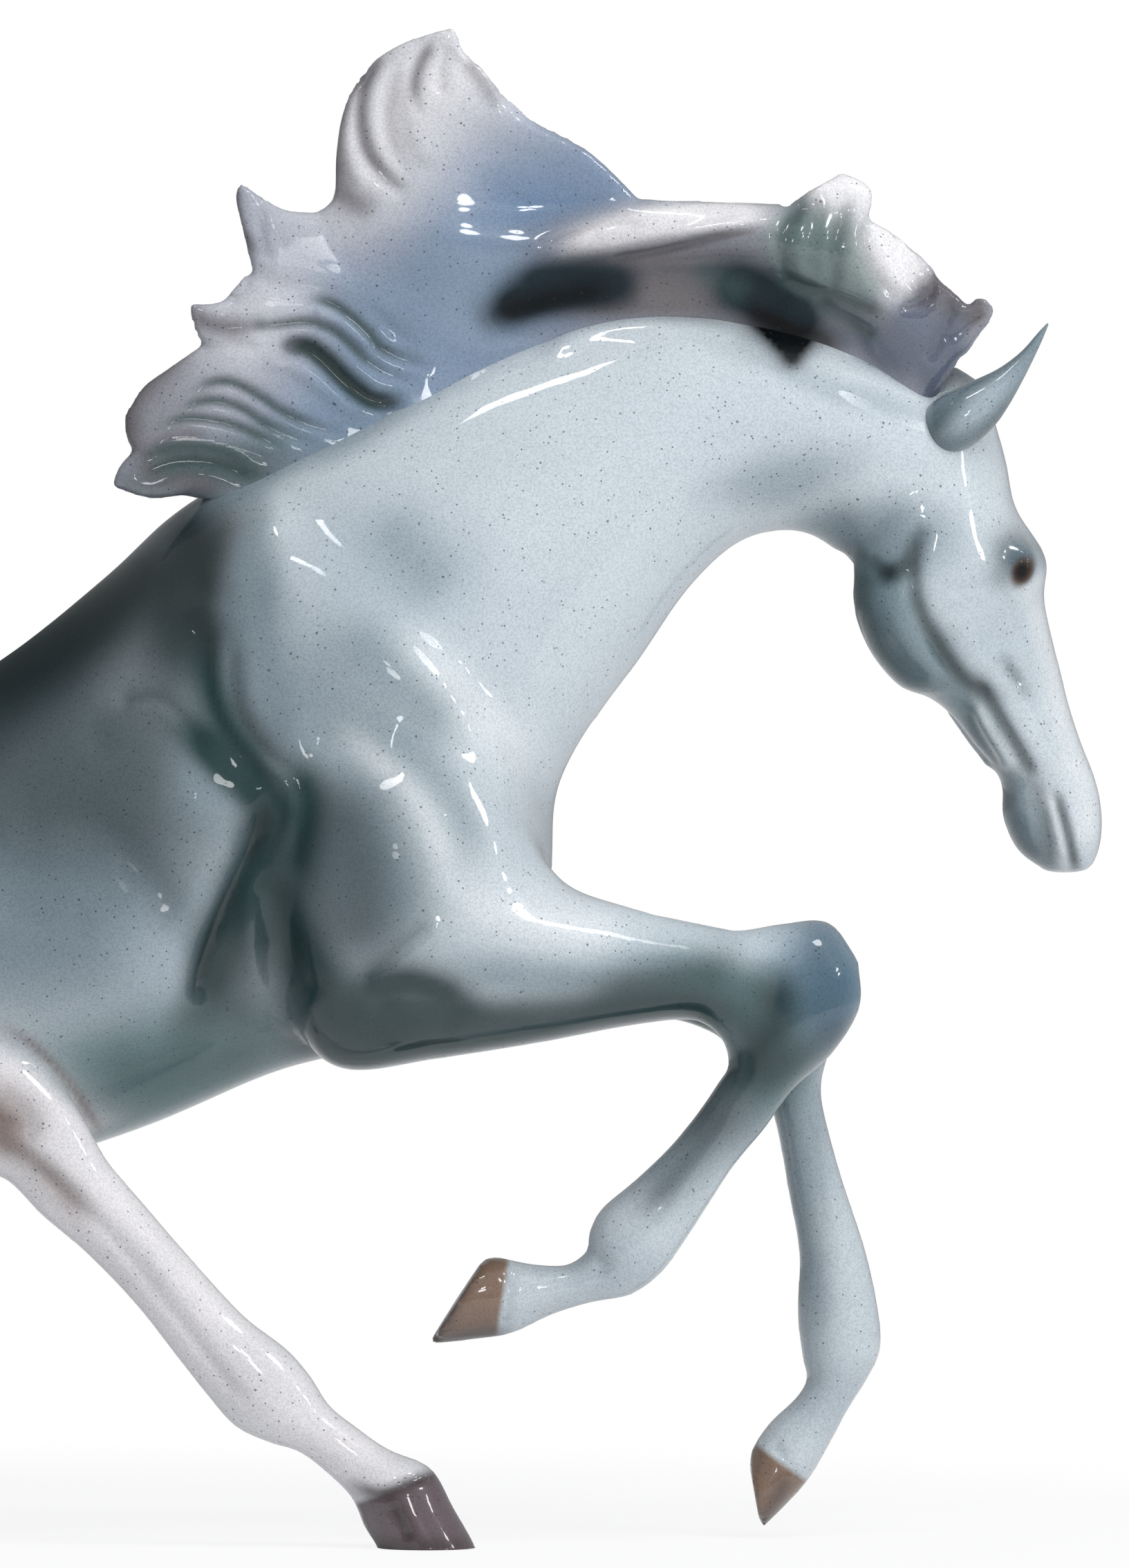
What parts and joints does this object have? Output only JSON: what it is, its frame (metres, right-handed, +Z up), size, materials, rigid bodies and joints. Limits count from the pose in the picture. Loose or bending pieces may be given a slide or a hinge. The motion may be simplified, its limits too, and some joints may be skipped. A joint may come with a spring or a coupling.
{
  "type": "porcelain horse figurine",
  "caption": "Glossy white porcelain horse with lifted forehand, folded forelegs, lowered head and a blown mane, standing on its hind hooves and tail.",
  "frame": {"origin": "middle of the bounding box in plan, on the ground under the hooves", "axes": "+X is the way the horse faces, +Y is its left side, +Z is up"},
  "size_m": [0.6876, 0.1448, 0.4823],
  "materials": {
    "body_glaze": "glossy clear glaze over white porcelain",
    "head_glaze": "glossy clear glaze over white porcelain",
    "leg_glaze": "glossy clear glaze, brown painted hooves",
    "hind_leg_glaze": "glossy clear glaze, brown painted hooves",
    "hair_glaze": "glossy clear glaze over fluted white porcelain"
  },
  "bodies": {
    "root": {"trunk_shell": "body_glaze", "neck_shell": "body_glaze", "head_shell": "head_glaze", "right_ear": "head_glaze", "left_ear": "head_glaze", "right_forearm": "leg_glaze", "left_forearm": "leg_glaze", "right_fore_cannon": "leg_glaze", "left_fore_cannon": "leg_glaze", "right_hind_leg": "hind_leg_glaze", "left_hind_leg": "hind_leg_glaze", "mane_wave": "hair_glaze", "mane_second_lock": "hair_glaze", "mane_third_lock": "hair_glaze", "mane_low_lock": "hair_glaze", "mane_withers_lock": "hair_glaze", "mane_fold": "hair_glaze", "mane_curl": "hair_glaze", "forelock": "hair_glaze", "tail_inner_lock": "hair_glaze", "tail_front_foot_lock": "hair_glaze", "tail_rear_foot_lock": "hair_glaze", "tail_outer_lock": "hair_glaze"}
  },
  "joints": []
}
